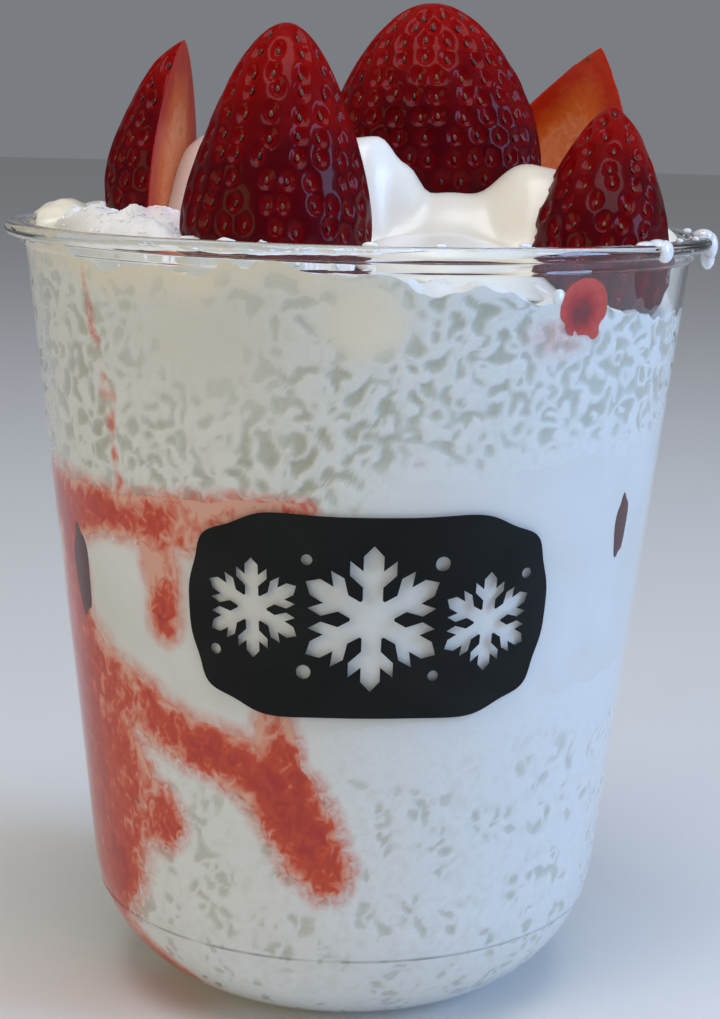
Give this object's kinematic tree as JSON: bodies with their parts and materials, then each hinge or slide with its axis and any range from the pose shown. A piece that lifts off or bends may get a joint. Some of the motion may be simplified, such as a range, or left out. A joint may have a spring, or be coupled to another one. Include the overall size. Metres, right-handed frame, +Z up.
{
  "type": "shaved ice dessert",
  "caption": "Shaved ice layered with milk and strawberry sauce in a clear plastic cup, topped with cream and halved strawberries.",
  "frame": {"origin": "middle of the cup's foot, on the surface it stands on", "axes": "+Z up, -Y towards the front that the picture shows, +X to the right as seen in the picture"},
  "size_m": [0.098, 0.098, 0.1392],
  "materials": {
    "clear_cup": "clear and glossy",
    "packed_ice": "grainy, frosty",
    "milk": "smooth, half glossy",
    "sauce": "wet and glossy",
    "ice": "grainy, frosty",
    "cream": "smooth and glossy",
    "berry": "wet and glossy",
    "fruit_piece": "wet and glossy"
  },
  "bodies": {
    "root": {"cup": "clear_cup", "lower_ice": "packed_ice", "milk_layer": "milk", "strawberry_sauce": "sauce", "upper_ice": "ice", "cream": "cream", "berry_front_left": "berry", "berry_centre": "berry", "berry_back_left": "berry", "berry_back_right": "berry", "berry_front_right": "berry", "strawberry_piece_left": "fruit_piece", "strawberry_piece_right": "fruit_piece"}
  },
  "joints": []
}
